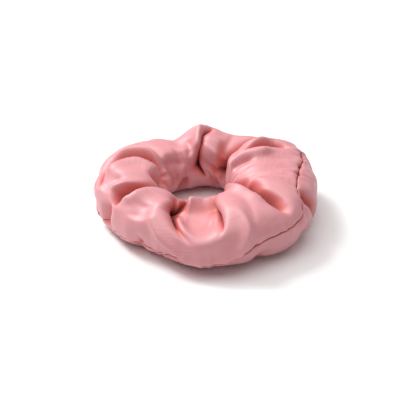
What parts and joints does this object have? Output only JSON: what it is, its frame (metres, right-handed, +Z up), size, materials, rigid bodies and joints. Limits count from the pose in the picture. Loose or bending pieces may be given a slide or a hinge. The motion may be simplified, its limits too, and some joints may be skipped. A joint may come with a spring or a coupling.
{
  "type": "scrunchie",
  "caption": "Ring-shaped hair tie: a gathered satin tube with a seam round its outer side, sewn closed over a flat braided elastic loop.",
  "frame": {"origin": "middle of the object's box, on the surface that it lies on", "axes": "+Z up through the hole; +X towards the side with the closing seam and the sewn elastic; -Y towards the front"},
  "size_m": [0.109, 0.1059, 0.029],
  "materials": {
    "rose_satin": "dusty rose polyester satin, smooth sheen",
    "braided_elastic": "white flat braided elastic, matt",
    "rose_thread": "rose spun polyester sewing thread",
    "white_thread": "white spun polyester sewing thread"
  },
  "bodies": {
    "cover": {"satin_cover": "rose_satin", "long_seam_needle_thread": "rose_thread", "long_seam_bobbin_thread": "rose_thread"},
    "sewn_side": {"elastic_band": "braided_elastic", "closing_seam_needle_thread": "rose_thread", "closing_seam_bobbin_thread": "rose_thread", "elastic_joint_needle_thread": "white_thread", "elastic_joint_bobbin_thread": "white_thread"}
  },
  "joints": [
    {"name": "stretch", "type": "slide", "parent": "cover", "child": "sewn_side", "axis": [1, 0, 0], "range_m": [0, 0.06], "stiffness_N_per_m": 100, "deforming": ["satin_cover", "elastic_band", "long_seam_needle_thread", "long_seam_bobbin_thread"]}
  ]
}
